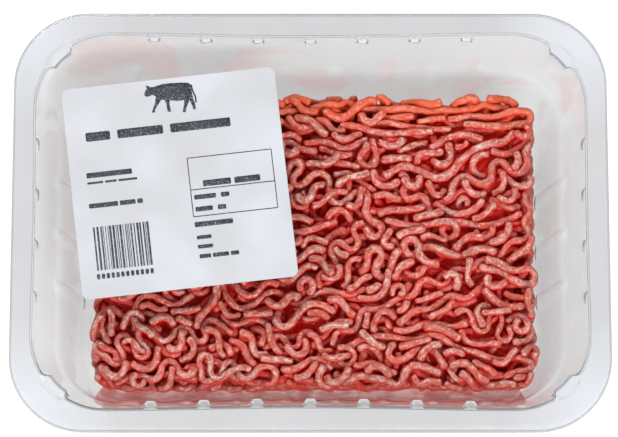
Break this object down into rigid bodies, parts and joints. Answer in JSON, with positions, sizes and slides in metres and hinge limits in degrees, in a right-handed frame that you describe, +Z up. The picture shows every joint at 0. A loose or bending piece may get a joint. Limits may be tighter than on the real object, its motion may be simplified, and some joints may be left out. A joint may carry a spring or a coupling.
{
  "type": "meat tray pack",
  "caption": "Clear thermoformed tray with a wide flange, sealed with clear film under a plain paper label, holding a block of minced beef strands.",
  "frame": {"origin": "under the middle of the pack, on the surface it rests on", "axes": "+X along the long side, +Y towards the far long side, +Z up through the film"},
  "size_m": [0.187, 0.135, 0.0505],
  "materials": {
    "tray": "clear, glossy, thermoformed sheet",
    "lid_film": "clear, taut, glossy film",
    "label": "smooth white label paper with plain dark print",
    "minced_meat": "moist raw minced beef with pale fat flecks"
  },
  "bodies": {
    "root": {"tray": "tray", "lid_film": "lid_film", "label": "label", "minced_meat": "minced_meat"}
  },
  "joints": []
}
